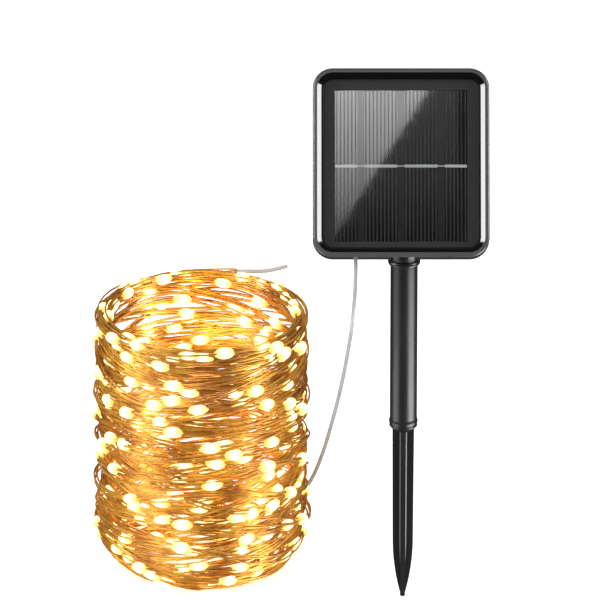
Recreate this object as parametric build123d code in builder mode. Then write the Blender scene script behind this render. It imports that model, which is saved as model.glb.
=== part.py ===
from build123d import *
import os
from math import cos, pi, radians, sin

# Solar string lights: a tilting solar panel head on a swivel bracket and ground stake, a lead, and a
# free-standing coil of copper-wire string lights. Millimetres, +Z up, front -Y, origin at the spike's tip.

# ---- Solar panel head: depths run back from the panel's front rim, square to its face
tilt_back = 30.0
panel_width, panel_height, panel_corner = 98.0, 105.5, 11.2
bezel_depth, rim_width, rim_round, bezel_wall = 13.0, 2.5, 1.5, 2.0
recess_depth, shoulder_width, shoulder_depth, recess_slope = 5.0, 2.3, 1.8, 0.9
fit_gap = 0.1
plate_thick, backsheet_thick = 1.0, 0.8
ledge_reach, ledge_thick = 3.5, 1.6
window_width, window_height, window_drop = 73.4, 84.5, 1.4
cell_gap, outer_cell, inner_cell = 3.7, 12.6, 18.55
cell_thick, finger_thick, cover_thick = 0.25, 0.1, 0.5
finger_pitch, finger_width, busbar_width, busbar_link = 2.09, 0.8, 1.6, 0.6
inner_fingers, outer_fingers = 9, 6

# ---- Rear housing, its box for the battery and board, and the hinge ears
back_step, back_thick = 1.5, 2.6
lip_thick, lip_top = 1.4, 9.4
box_width, box_height, box_drop, box_back, box_wall = 74.0, 66.0, 3.0, 28.0, 2.0
box_corner = 5.0
hinge_height, hinge_drop, hinge_depth, hinge_aside = 239.0, 20.0, 38.0, 2.2
ear_inner, ear_outer, ear_round, ear_base = 7.0, 11.0, 6.0, 9.0
bolt_radius, running_gap = 2.0, 0.05
case_screw_x, case_screw_y = 40.6, 44.4

# ---- Battery, board and buttons
cell_radius, cell_length, battery_up, battery_depth = 7.0, 43.0, 17.5, 18.4
door_width, door_height, door_thick, door_sunk, door_corner = 62.4, 21.2, 1.6, 1.0, 2.0
ridge_length, ridge_width, ridge_pitch, ridge_count, ridge_proud = 16.0, 1.6, 4.0, 3, 0.6
door_screw_x = 29.0
board_width, board_height, board_drop, board_depth, board_thick = 60.0, 24.0, 18.0, 20.0, 1.2
button_x, button_drop, button_radius, button_flange = 22.0, 14.0, 3.6, 4.5
switch_size, switch_height, plunger_radius, plunger_top = 6.0, 2.4, 1.6, 24.4

# ---- Swivel bracket, stake tube and ground spike, along Z
knuckle_half, knuckle_radius, stem_depth = 6.2, 6.2, 11.0
collar_radius, collar_top, tube_top = 7.85, 216.0, 208.0
plug_radius, plug_low = 5.8, 184.0
tube_radius, tube_bottom, tube_bore = 7.65, 107.2, 5.85
top_bead_radius, low_bead_radius, bead_half = 9.1, 8.1, 1.8
spike_half, spike_waist, waist_height = 6.1, 5.75, 35.0
spike_mid, mid_height, tip_half, tip_height = 4.5, 18.0, 1.2, 1.8
blade_thick, core_radius, flange_radius = 2.8, 2.6, 7.9

# ---- Lead and string
lead_radius = 1.1
gland_x, gland_depth = -25.0, 21.0
coil_x, coil_y = -114.0, 51.4
coil_radius, coil_top, coil_base_radius, coil_wall = 62.4, 154.3, 38.0, 8.5
led_count, led_pitch, led_half_length, led_half_width = 300, 100.0, 5.0, 2.6
lead_coil_x, lead_coil_y, lead_coil_mid = -115.6, 146.0, 13.0
lead_coil_half_width, lead_coil_half_height = 5.6, 4.5
lead_turns = 20

os.makedirs("parts", exist_ok=True)

# ---- Planes of the tilted head
tilt = radians(tilt_back)
face_up = Vector(0, sin(tilt), cos(tilt))
face_out = Vector(0, -cos(tilt), sin(tilt))
hinge_point = Vector(0, 0, hinge_height)
face_centre = hinge_point + face_up * hinge_drop + face_out * hinge_depth - Vector(hinge_aside, 0, 0)
head = Plane(origin=face_centre, x_dir=(1, 0, 0), z_dir=face_out)
head_side = Plane(origin=hinge_point, x_dir=face_up, z_dir=(1, 0, 0))
out_axis = Axis(face_centre, face_out)


def behind(depth):
    """The plane parallel to the panel's face at this depth behind its front rim."""
    return head.offset(-depth)


def head_point(x, up, depth):
    """A point of the head, from its place across, up and behind the middle of the front rim."""
    return face_centre + Vector(x, 0, 0) + face_up * up - face_out * depth


def finish(piece, name):
    """Labels a finished piece and writes its file."""
    piece.part.label = name
    export_step(piece.part, f"parts/{name}.step")


def inset_corner(inset):
    """The corner radius of the panel's outline drawn in by an inset."""
    return panel_corner - inset


# ---- Front bezel: a deep glossy frame with a shallow shoulder, a steep inner wall and the laminate's ledge
shoulder_inset = rim_width + shoulder_width
plate_inset = shoulder_inset + recess_slope
ledge_inset = plate_inset + ledge_reach
backsheet_front = recess_depth + plate_thick
ledge_front = backsheet_front + backsheet_thick
ledge_back = ledge_front + ledge_thick
boss_radius, boss_back, pilot_radius, screw_radius = 3.0, bezel_depth - 0.1, 1.05, 1.0

with BuildPart() as front_bezel:
    with BuildSketch(behind(bezel_depth)):
        RectangleRounded(panel_width, panel_height, panel_corner)
    extrude(amount=bezel_depth)
    fillet(front_bezel.faces().sort_by(out_axis)[-1].edges(), rim_round)
    with BuildSketch(head):
        RectangleRounded(panel_width - 2 * rim_width, panel_height - 2 * rim_width, inset_corner(rim_width))
    with BuildSketch(behind(shoulder_depth)):
        RectangleRounded(
            panel_width - 2 * shoulder_inset, panel_height - 2 * shoulder_inset, inset_corner(shoulder_inset)
        )
    loft(mode=Mode.SUBTRACT)
    with BuildSketch(behind(shoulder_depth)):
        RectangleRounded(
            panel_width - 2 * shoulder_inset, panel_height - 2 * shoulder_inset, inset_corner(shoulder_inset)
        )
    with BuildSketch(behind(recess_depth)):
        RectangleRounded(
            panel_width - 2 * plate_inset, panel_height - 2 * plate_inset, inset_corner(plate_inset)
        )
    loft(mode=Mode.SUBTRACT)
    with BuildSketch(behind(recess_depth)):
        RectangleRounded(
            panel_width - 2 * plate_inset, panel_height - 2 * plate_inset, inset_corner(plate_inset)
        )
    extrude(amount=recess_depth - ledge_front, mode=Mode.SUBTRACT)
    with BuildSketch(behind(ledge_front)):
        RectangleRounded(
            panel_width - 2 * ledge_inset, panel_height - 2 * ledge_inset, inset_corner(ledge_inset)
        )
    extrude(amount=-ledge_thick, mode=Mode.SUBTRACT)
    with BuildSketch(behind(bezel_depth)):
        RectangleRounded(
            panel_width - 2 * bezel_wall, panel_height - 2 * bezel_wall, inset_corner(bezel_wall)
        )
    extrude(amount=bezel_depth - ledge_back, mode=Mode.SUBTRACT)
    with BuildSketch(behind(boss_back)):
        with GridLocations(2 * case_screw_x, 2 * case_screw_y, 2, 2):
            Circle(boss_radius)
    extrude(amount=boss_back - ledge_back + fit_gap)
    with BuildSketch(behind(boss_back)):
        with GridLocations(2 * case_screw_x, 2 * case_screw_y, 2, 2):
            Circle(pilot_radius)
    extrude(amount=boss_back - ledge_back - fit_gap, mode=Mode.SUBTRACT)
finish(front_bezel, "front_bezel")

# ---- Face plate: the matte border round the cells
plate_width = panel_width - 2 * plate_inset - 2 * fit_gap
plate_height = panel_height - 2 * plate_inset - 2 * fit_gap
with BuildPart() as face_plate:
    with BuildSketch(behind(recess_depth)):
        RectangleRounded(plate_width, plate_height, inset_corner(plate_inset))
        with Locations((0, -window_drop)):
            Rectangle(window_width, window_height, mode=Mode.SUBTRACT)
    extrude(amount=-plate_thick)
finish(face_plate, "face_plate")

# ---- Cell backsheet: the board that the cells are bonded to, clamped on the bezel's ledge
with BuildPart() as cell_backsheet:
    with BuildSketch(behind(backsheet_front)):
        RectangleRounded(plate_width, plate_height, inset_corner(plate_inset))
    extrude(amount=-backsheet_thick)
finish(cell_backsheet, "cell_backsheet")

# ---- Four solar cells, their printed fingers and the busbar ribbon, then the clear cover over them
cell_front = backsheet_front - cell_thick
finger_front = cell_front - finger_thick
cell_centres = [-(inner_cell + outer_cell) / 2 - cell_gap, 0, 0, (inner_cell + outer_cell) / 2 + cell_gap]
cell_centres = [x + side * (inner_cell + cell_gap) / 2 for x, side in zip(cell_centres, (-1, -1, 1, 1))]
cell_widths = [outer_cell, inner_cell, inner_cell, outer_cell]
finger_counts = [outer_fingers, inner_fingers, inner_fingers, outer_fingers]
cell_height = window_height - 2 * fit_gap

with BuildPart() as solar_cells:
    with BuildSketch(behind(backsheet_front)):
        for x, width in zip(cell_centres, cell_widths):
            with Locations((x, -window_drop)):
                Rectangle(width - fit_gap, cell_height)
    extrude(amount=cell_thick)
finish(solar_cells, "solar_cells")

finger_length = (cell_height - busbar_width) / 2 - 3 * fit_gap
finger_offset = (finger_length + busbar_width) / 2 + fit_gap
with BuildPart() as cell_fingers:
    with BuildSketch(behind(cell_front)):
        for x, count in zip(cell_centres, finger_counts):
            with Locations((x, -window_drop)):
                with GridLocations(finger_pitch, 2 * finger_offset, count, 2):
                    Rectangle(finger_width, finger_length)
    extrude(amount=finger_thick)
finish(cell_fingers, "cell_fingers")

with BuildPart() as busbar_ribbon:
    with BuildSketch(behind(cell_front)):
        for x, width in zip(cell_centres, cell_widths):
            with Locations((x, -window_drop)):
                Rectangle(width - 4 * fit_gap, busbar_width)
        with Locations((0, -window_drop)):
            Rectangle(window_width - outer_cell, busbar_link)
    extrude(amount=finger_thick)
finish(busbar_ribbon, "busbar_ribbon")

with BuildPart() as laminate_cover:
    with BuildSketch(behind(finger_front)):
        with Locations((0, -window_drop)):
            Rectangle(window_width - 2 * fit_gap, window_height - 2 * fit_gap)
    extrude(amount=cover_thick)
finish(laminate_cover, "laminate_cover")

# ---- Rear housing: back plate with a lip inside the bezel, a box for the battery and board, hinge ears
cavity_width = panel_width - 2 * bezel_wall
cavity_height = panel_height - 2 * bezel_wall
lip_width = cavity_width - 4 * fit_gap
lip_height = cavity_height - 4 * fit_gap
lip_corner = inset_corner(bezel_wall + 2 * fit_gap)
box_floor = box_back - box_wall
door_recess_gap = 0.2
door_opening_height = 2 * (cell_radius + 1.8)
door_boss_radius, door_boss_length = 2.2, 5.0
peg_x, peg_drop, standoff_radius, peg_radius = 26.5, 26.5, 2.2, 0.95
rib_thick, rib_front, rib_height = 1.4, 12.0, 15.0
rib_left, rib_right = -22.9, 26.9
gland_stem_radius, gland_up = 2.75, -(box_drop + box_height / 2)
screw_head_radius, screw_head_height, counterbore_radius = 1.95, 1.3, 2.2
button_gap = 0.3
plate_back = bezel_depth + back_thick
ear_root = hinge_depth - box_back + 1

with BuildPart() as rear_housing:
    with BuildSketch(behind(plate_back)):
        RectangleRounded(
            panel_width - 2 * back_step, panel_height - 2 * back_step, inset_corner(back_step)
        )
    extrude(amount=back_thick)
    fillet(rear_housing.faces().sort_by(out_axis)[0].edges(), back_step)
    with BuildSketch(behind(bezel_depth)):
        RectangleRounded(lip_width, lip_height, lip_corner)
        RectangleRounded(
            lip_width - 2 * lip_thick, lip_height - 2 * lip_thick, lip_corner - lip_thick, mode=Mode.SUBTRACT
        )
    extrude(amount=bezel_depth - lip_top)
    with BuildSketch(behind(box_back)):
        with Locations((0, -box_drop)):
            RectangleRounded(box_width, box_height, box_corner)
    extrude(amount=box_back - bezel_depth)
    fillet(rear_housing.faces().sort_by(out_axis)[0].edges(), back_step)
    with BuildSketch(behind(box_floor)):
        with Locations((0, -box_drop)):
            RectangleRounded(box_width - 2 * box_wall, box_height - 2 * box_wall, box_corner - box_wall)
    extrude(amount=box_floor - bezel_depth, mode=Mode.SUBTRACT)
    # hinge ears, rooted a little way into the box
    for side in (-1, 1):
        with BuildSketch(head_side.offset(side * (ear_inner + ear_outer) / 2)):
            Circle(ear_round)
            Polygon(
                (-ear_base, ear_root),
                (ear_base, ear_root),
                (ear_round, 0),
                (-ear_round, 0),
                align=None,
            )
        extrude(amount=(ear_outer - ear_inner) / 2, both=True)
    with BuildSketch(head_side.offset(-ear_outer)):
        Circle(bolt_radius + running_gap)
    extrude(amount=2 * ear_outer, mode=Mode.SUBTRACT)
    # bosses of the battery door, pegs of the board and the ribs that hold the cell's contacts
    with BuildSketch(behind(box_floor)):
        with Locations((-door_screw_x, battery_up), (door_screw_x, battery_up)):
            Circle(door_boss_radius)
    extrude(amount=door_boss_length)
    with BuildSketch(behind(box_floor)):
        with Locations((-peg_x, -peg_drop), (peg_x, -peg_drop)):
            Circle(standoff_radius)
    extrude(amount=box_floor - board_depth - board_thick)
    with BuildSketch(behind(box_floor)):
        with Locations((-peg_x, -peg_drop), (peg_x, -peg_drop)):
            Circle(peg_radius)
    extrude(amount=box_floor - board_depth + board_thick)
    with BuildSketch(behind(box_floor)):
        for x in (rib_left, rib_right):
            with Locations((x, battery_up)):
                Rectangle(rib_thick, rib_height)
    extrude(amount=box_floor - rib_front)
    # battery opening, with the recess that its door lies in
    with BuildSketch(behind(box_back)):
        with Locations(((rib_left + rib_right) / 2, battery_up)):
            Rectangle(rib_right - rib_left - rib_thick, door_opening_height)
    extrude(amount=box_wall, mode=Mode.SUBTRACT)
    with BuildSketch(behind(box_back)):
        with Locations((0, battery_up)):
            RectangleRounded(
                door_width + 2 * door_recess_gap,
                door_height + 2 * door_recess_gap,
                door_corner + door_recess_gap,
            )
    extrude(amount=door_sunk, mode=Mode.SUBTRACT)
    with BuildSketch(behind(box_back)):
        with Locations((-door_screw_x, battery_up), (door_screw_x, battery_up)):
            Circle(pilot_radius)
    extrude(amount=box_wall + door_boss_length, mode=Mode.SUBTRACT)
    # button holes
    with BuildSketch(behind(box_back)):
        with Locations((-button_x, -button_drop), (button_x, -button_drop)):
            Circle(button_radius + button_gap)
    extrude(amount=box_wall, mode=Mode.SUBTRACT)
    # case screw holes, counterbored from behind
    with BuildSketch(behind(plate_back)):
        with GridLocations(2 * case_screw_x, 2 * case_screw_y, 2, 2):
            Circle(pilot_radius + 2 * fit_gap)
    extrude(amount=back_thick, mode=Mode.SUBTRACT)
    with BuildSketch(behind(plate_back)):
        with GridLocations(2 * case_screw_x, 2 * case_screw_y, 2, 2):
            Circle(counterbore_radius)
    extrude(amount=screw_head_height, mode=Mode.SUBTRACT)
    # hole of the cable gland in the bottom wall
    with BuildSketch(
        Plane(origin=head_point(gland_x, gland_up, gland_depth), x_dir=(1, 0, 0), z_dir=face_up)
    ):
        Circle(gland_stem_radius + fit_gap)
    extrude(amount=box_wall, mode=Mode.SUBTRACT)
finish(rear_housing, "rear_housing")

# ---- Panel gasket: the seal squeezed between the lip and the bezel's ledge
with BuildPart() as panel_gasket:
    with BuildSketch(behind(lip_top)):
        RectangleRounded(lip_width, lip_height, lip_corner)
        RectangleRounded(
            lip_width - 2 * lip_thick, lip_height - 2 * lip_thick, lip_corner - lip_thick, mode=Mode.SUBTRACT
        )
    extrude(amount=lip_top - ledge_back)
finish(panel_gasket, "panel_gasket")


# ---- Screws
slot_length, slot_width, slot_depth = 2.3, 0.55, 0.7


def make_screws(places, seat_depth, length):
    """Cross-head screws at places on the head, heads behind seat_depth and shanks running forward."""
    with BuildPart() as screws:
        with BuildSketch(behind(seat_depth + screw_head_height)):
            with Locations(*places):
                Circle(screw_head_radius)
        extrude(amount=screw_head_height)
        with BuildSketch(behind(seat_depth)):
            with Locations(*places):
                Circle(screw_radius)
        extrude(amount=length)
        with BuildSketch(behind(seat_depth + screw_head_height)):
            with Locations(*places):
                Rectangle(slot_length, slot_width)
                Rectangle(slot_width, slot_length)
        extrude(amount=slot_depth, mode=Mode.SUBTRACT)
    return screws


case_places = [(x, up) for x in (-case_screw_x, case_screw_x) for up in (-case_screw_y, case_screw_y)]
case_seat = plate_back - screw_head_height
housing_screws = make_screws(case_places, case_seat, case_seat - lip_top)
finish(housing_screws, "housing_screws")

door_places = [(-door_screw_x, battery_up), (door_screw_x, battery_up)]
door_back = box_back - door_sunk + door_thick
door_screws = make_screws(door_places, door_back, door_thick + door_boss_length)
finish(door_screws, "door_screws")

# ---- Battery door, with finger ridges
with BuildPart() as battery_door:
    with BuildSketch(behind(door_back)):
        with Locations((0, battery_up)):
            RectangleRounded(door_width, door_height, door_corner)
    extrude(amount=door_thick)
    with BuildSketch(behind(door_back)):
        with Locations((0, battery_up)):
            with GridLocations(0, ridge_pitch, 1, ridge_count):
                RectangleRounded(ridge_length, ridge_width, 0.45 * ridge_width)
    extrude(amount=-ridge_proud)
    with BuildSketch(behind(door_back)):
        with Locations(*door_places):
            Circle(pilot_radius + fit_gap)
    extrude(amount=door_thick, mode=Mode.SUBTRACT)
finish(battery_door, "battery_door")

# ---- Rechargeable cell with its nub, the sprung contact and the plain contact
cell_start = -cell_length / 2
nub_radius, nub_length, cell_round = 2.8, 1.0, 0.6
battery_start = head_point(cell_start, battery_up, battery_depth)
battery_plane = Plane(origin=battery_start, x_dir=face_up, z_dir=(1, 0, 0))
with BuildPart() as battery_cell:
    with BuildSketch(battery_plane.offset(nub_length)):
        Circle(cell_radius)
    extrude(amount=cell_length - nub_length)
    fillet(battery_cell.edges(), cell_round)
    with BuildSketch(battery_plane):
        Circle(nub_radius)
    extrude(amount=nub_length + fit_gap)
finish(battery_cell, "battery_cell")

contact_thick, contact_width, contact_height = 0.4, 11.0, 11.0
with BuildPart() as battery_contact:
    with BuildSketch(battery_plane.offset(-contact_thick)):
        Rectangle(contact_height, contact_width)
    extrude(amount=contact_thick)
finish(battery_contact, "battery_contact")

spring_wire, spring_turns, spring_small, spring_large = 0.35, 3, 2.2, 4.2
strut_middle, strut_height = 3.1, 3.4
spring_start = cell_length + spring_wire
spring_sunk = 0.2
spring_length = rib_right - rib_thick / 2 - cell_start - spring_start - contact_thick - spring_sunk - fit_gap
with BuildPart() as battery_spring:
    with BuildSketch(battery_plane.offset(spring_start + spring_length + spring_sunk)):
        Rectangle(contact_height, contact_width)
    extrude(amount=contact_thick)
    for ring in range(spring_turns + 1):
        share = ring / spring_turns
        ring_radius = spring_small + (spring_large - spring_small) * share
        with BuildSketch(battery_plane.offset(spring_start - spring_wire + spring_length * share)):
            Circle(ring_radius + spring_wire)
            Circle(ring_radius - spring_wire, mode=Mode.SUBTRACT)
        extrude(amount=2 * spring_wire)
    with BuildSketch(battery_plane.offset(spring_start)):
        with Locations((0, strut_middle), (0, -strut_middle)):
            Rectangle(spring_wire, strut_height)
    extrude(amount=spring_length + spring_wire)
finish(battery_spring, "battery_spring")

# ---- Circuit board with its parts, the two tact switches and the two buttons over them
board_back, board_corner = board_depth + board_thick, 1.0
with BuildPart() as circuit_board:
    with BuildSketch(behind(board_back)):
        with Locations((0, -board_drop)):
            RectangleRounded(board_width, board_height, board_corner)
        with Locations((-peg_x, -peg_drop), (peg_x, -peg_drop)):
            Circle(peg_radius + 2 * fit_gap, mode=Mode.SUBTRACT)
    extrude(amount=board_thick)
finish(circuit_board, "circuit_board")

chip_place, chip_width, chip_height = (-9, -17), 6.0, 5.0
regulator_place, regulator_width, package_tall = (-9, -25), 3.0, 1.6
choke_place, choke_radius, choke_tall = (3, -18), 2.8, 3.2
can_place, can_radius, can_tall = (12, -22), 2.0, 5.0
chips_place, chips_pitch, chip_long, chip_short, chip_tall = (-18, -20), 3.0, 1.6, 0.9, 0.6
with BuildPart() as circuit_parts:
    with BuildSketch(behind(board_depth)):
        with Locations(chip_place):
            Rectangle(chip_width, chip_height)
        with Locations(regulator_place):
            Rectangle(regulator_width, regulator_width)
    extrude(amount=package_tall)
    with BuildSketch(behind(board_depth)):
        with Locations(choke_place):
            Circle(choke_radius)
    extrude(amount=choke_tall)
    with BuildSketch(behind(board_depth)):
        with Locations(can_place):
            Circle(can_radius)
    extrude(amount=can_tall)
    with BuildSketch(behind(board_depth)):
        with Locations(chips_place):
            with GridLocations(chips_pitch, chips_pitch, 2, 4):
                Rectangle(chip_long, chip_short)
    extrude(amount=chip_tall)
finish(circuit_parts, "circuit_parts")

button_places = [(-button_x, -button_drop), (button_x, -button_drop)]
with BuildPart() as button_switches:
    with BuildSketch(behind(board_back)):
        with Locations(*button_places):
            Rectangle(switch_size, switch_size)
    extrude(amount=-switch_height)
    with BuildSketch(behind(board_back + switch_height)):
        with Locations(*button_places):
            Circle(plunger_radius)
    extrude(amount=board_back + switch_height - plunger_top)
finish(button_switches, "button_switches")

flange_front, button_proud, button_edge = plunger_top + 0.6, 1.5, 0.8
mark_radius, mark_inner, mark_length, mark_width, mark_sunk = 1.5, 1.0, 2.6, 0.5, 0.3


def make_button(place, ring_mark):
    """One push button: a flange inside the back wall and a domed stem through it, with a sunk mark."""
    with BuildPart() as button:
        with BuildSketch(behind(flange_front)):
            with Locations(place):
                Circle(button_flange)
        extrude(amount=flange_front + fit_gap - box_floor)
        with BuildSketch(behind(flange_front)):
            with Locations(place):
                Circle(button_radius)
        extrude(amount=flange_front - box_back - button_proud)
        fillet(button.faces().sort_by(out_axis)[0].edges(), button_edge)
        with BuildSketch(behind(box_back + button_proud)):
            with Locations(place):
                if ring_mark:
                    Circle(mark_radius)
                    Circle(mark_inner, mode=Mode.SUBTRACT)
                else:
                    Rectangle(mark_length, mark_width)
        extrude(amount=mark_sunk, mode=Mode.SUBTRACT)
    return button


power_button = make_button(button_places[0], True)
finish(power_button, "power_button")
mode_button = make_button(button_places[1], False)
finish(mode_button, "mode_button")

# ---- Wires from the cells' backsheet to the board
wire_radius, wire_places = 0.5, [(20, -12), (23, -12)]
with BuildPart() as panel_wires:
    with BuildSketch(behind(board_depth)):
        with Locations(*wire_places):
            Circle(wire_radius)
    extrude(amount=board_depth - ledge_front)
finish(panel_wires, "panel_wires")

# ---- Cable gland with a ribbed, tapered strain relief, square to the housing's bottom wall
gland_plane = Plane(origin=head_point(gland_x, gland_up, gland_depth), x_dir=(1, 0, 0), z_dir=-face_up)
gland_flange_radius, gland_flange_thick, gland_top_radius, gland_tip_radius = 3.9, 1.4, 3.1, 1.8
gland_length, groove_depth = 11.5, 0.35
gland_axis = Axis(gland_plane.origin, gland_plane.z_dir)
gland_across = gland_plane.z_dir.cross(Vector(1, 0, 0)) * -1
gland_side = Plane(origin=gland_plane.origin, x_dir=(1, 0, 0), z_dir=gland_across)
rib_count = 4
with BuildPart() as cable_gland:
    with BuildSketch(gland_side):
        with BuildLine():
            start = -box_wall - gland_flange_thick
            outline = [
                (lead_radius, start),
                (gland_flange_radius, start),
                (gland_flange_radius, -box_wall),
                (gland_stem_radius, -box_wall),
                (gland_stem_radius, 0),
                (gland_flange_radius, 0),
                (gland_flange_radius, gland_flange_thick),
            ]
            step = (gland_length - gland_flange_thick) / (2 * rib_count)
            for k in range(2 * rib_count):
                share = k / (2 * rib_count)
                radius = gland_top_radius + (gland_tip_radius - gland_top_radius) * share
                if k % 2:
                    radius -= groove_depth
                outline.append((radius, gland_flange_thick + k * step))
                outline.append((radius, gland_flange_thick + (k + 1) * step))
            outline.append((gland_tip_radius, gland_length))
            outline.append((lead_radius, gland_length))
            Polyline(*outline, close=True)
        make_face()
    revolve(axis=gland_axis)
finish(cable_gland, "cable_gland")

# ---- Tilt hinge: bolt across the ears, two washers, and a fluted clamping knob
bolt_head_radius, bolt_head_thick, bolt_end, knob_start = 4.2, 2.8, 18.6, 11.4
knob_radius, knob_length, flute_radius, flute_out, flute_count = 8.0, 7.0, 1.9, 0.7, 8
washer_thick, washer_radius, washer_clear = 0.6, 5.0, 0.1
with BuildPart() as tilt_bolt:
    with BuildSketch(head_side.offset(-bolt_end)):
        Circle(bolt_radius)
    extrude(amount=bolt_end + ear_outer + bolt_head_thick)
    with BuildSketch(head_side.offset(ear_outer)):
        RegularPolygon(bolt_head_radius, 6)
    extrude(amount=bolt_head_thick)
finish(tilt_bolt, "tilt_bolt")

with BuildPart() as hinge_washers:
    for side in (-1, 1):
        with BuildSketch(head_side.offset(side * (knuckle_half + washer_clear + washer_thick / 2))):
            Circle(washer_radius)
            Circle(bolt_radius + running_gap, mode=Mode.SUBTRACT)
        extrude(amount=washer_thick / 2, both=True)
finish(hinge_washers, "hinge_washers")

with BuildPart() as tilt_knob:
    with BuildSketch(head_side.offset(-knob_start - knob_length)):
        Circle(knob_radius)
        with PolarLocations(knob_radius + flute_out, flute_count):
            Circle(flute_radius, mode=Mode.SUBTRACT)
        Circle(bolt_radius + running_gap, mode=Mode.SUBTRACT)
    extrude(amount=knob_length)
finish(tilt_knob, "tilt_knob")

# ---- Swivel bracket: knuckle, stem and collar in one piece, with the plug that turns in the stake's tube
hinge_plane = Plane(origin=hinge_point, x_dir=(0, 1, 0), z_dir=(1, 0, 0))
stem_low = collar_top - 2.0
collar_round, plug_chamfer = 0.4, 0.8
with BuildPart() as swivel_bracket:
    with BuildSketch(hinge_plane.offset(-knuckle_half)):
        Circle(knuckle_radius)
    extrude(amount=2 * knuckle_half)
    with BuildSketch(Plane.XY.offset(stem_low)):
        Rectangle(2 * knuckle_half, stem_depth)
    extrude(amount=hinge_height - stem_low)
    with BuildSketch(Plane.XY.offset(tube_top + running_gap)):
        Circle(collar_radius)
    extrude(amount=collar_top - tube_top - running_gap)
    fillet(swivel_bracket.edges().filter_by(GeomType.CIRCLE).group_by(Axis.Z)[0], collar_round)
    with BuildSketch(Plane.XY.offset(plug_low)):
        Circle(plug_radius)
    extrude(amount=tube_top - plug_low + 1)
    chamfer(swivel_bracket.edges().group_by(Axis.Z)[0], plug_chamfer)
    with BuildSketch(hinge_plane.offset(-knuckle_half)):
        Circle(bolt_radius + running_gap)
    extrude(amount=2 * knuckle_half, mode=Mode.SUBTRACT)
finish(swivel_bracket, "swivel_bracket")

# ---- Stake tube, with a rolled bead at each end
with BuildPart() as stake_tube:
    with BuildSketch(Plane.XZ):
        with BuildLine():
            low_bead, top_bead = tube_bottom + bead_half, tube_top - bead_half
            Line((tube_bore, tube_bottom), (tube_bore, tube_top))
            Line((tube_bore, tube_top), (tube_radius, tube_top))
            ThreePointArc(
                (tube_radius, tube_top), (top_bead_radius, top_bead), (tube_radius, top_bead - bead_half)
            )
            Line((tube_radius, top_bead - bead_half), (tube_radius, low_bead + bead_half))
            ThreePointArc(
                (tube_radius, low_bead + bead_half), (low_bead_radius, low_bead), (tube_radius, tube_bottom)
            )
            Line((tube_radius, tube_bottom), (tube_bore, tube_bottom))
        make_face()
    revolve(axis=Axis.Z)
finish(stake_tube, "stake_tube")

# ---- Ground spike: a cross of two blades on a slim core, with a flange and a plug up into the tube
spike_plug_length, flange_low_radius, flange_low, flange_edge, plug_edge = 25.0, 6.6, 104.6, 0.5, 1.0
flange_root = flange_low - 0.6


def half_outline(scale):
    """The spike's outline on one side, from the axis at the tip up to its flange."""
    with BuildLine() as outline:
        Line((0, 0), (0, flange_low))
        Line((0, flange_low), (spike_half * scale, flange_low))
        Line((spike_half * scale, flange_low), (spike_waist * scale, waist_height))
        ThreePointArc(
            (spike_waist * scale, waist_height), (spike_mid * scale, mid_height), (tip_half, tip_height)
        )
        ThreePointArc((tip_half, tip_height), (tip_half * 0.75, tip_height * 0.3), (0, 0))
    return outline.line


blade_planes = [Plane.XZ, Plane.YZ]
with BuildPart() as ground_spike:
    for plane in blade_planes:
        with BuildSketch(plane):
            with BuildLine():
                add(half_outline(1.0))
            make_face()
            mirror(about=Plane.YZ)
        extrude(amount=blade_thick / 2, both=True)
    with BuildSketch(Plane.XZ):
        with BuildLine():
            add(half_outline(core_radius / spike_half))
        make_face()
    revolve(axis=Axis.Z)
    with BuildSketch(Plane.XZ):
        with BuildLine():
            Polyline(
                (0, flange_root),
                (flange_low_radius - flange_edge, flange_root),
                (flange_low_radius, flange_low),
                (flange_radius, tube_bottom - 2 * flange_edge),
                (flange_radius, tube_bottom - flange_edge),
                (flange_radius - flange_edge, tube_bottom),
                (plug_radius, tube_bottom),
                (plug_radius, tube_bottom + spike_plug_length - plug_edge),
                (plug_radius - plug_edge, tube_bottom + spike_plug_length),
                (0, tube_bottom + spike_plug_length),
                close=True,
            )
        make_face()
    revolve(axis=Axis.Z)
finish(ground_spike, "ground_spike")


# ---- Lead: straight runs joined by the largest tangent arcs that its runs allow
def corner_radii(points):
    """One arc radius for each corner: 0.45 of the shorter run, over the tangent of half the turn."""
    radii = []
    for before, here, after in zip(points, points[1:], points[2:]):
        run_in = Vector(*here) - Vector(*before)
        run_out = Vector(*after) - Vector(*here)
        half_turn = radians(run_in.get_angle(run_out)) / 2
        radii.append(0.45 * min(run_in.length, run_out.length) * cos(half_turn) / sin(half_turn))
    return radii


def tube_along(points, radius):
    """A round tube along a route of points, and its length."""
    radii = corner_radii(points)
    print("radii", [round(r, 1) for r in radii])
    with BuildPart() as tube:
        with BuildLine() as route:
            FilletPolyline(*points, radius=radii)
        with BuildSketch(Plane(origin=route.line @ 0, z_dir=route.line % 0)):
            Circle(radius)
        sweep()
    length = sum(edge.length for edge in route.edges())
    print("length", round(length, 1), "volume share", tube.part.volume / (pi * radius**2 * length))
    return tube, length


lead_straight = 21.0
gland_end_up = gland_up - gland_length
lead_top_start = head_point(gland_x, gland_up + box_wall + gland_flange_thick, gland_depth)
lead_top_end = head_point(gland_x, gland_end_up - lead_straight, gland_depth)
lead_top_length = (lead_top_end - lead_top_start).length
with BuildPart() as lead_wire_top:
    with BuildSketch(Plane(origin=lead_top_start, x_dir=(1, 0, 0), z_dir=-face_up)):
        Circle(lead_radius)
    extrude(amount=lead_top_length)
finish(lead_wire_top, "lead_wire_top")

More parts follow.
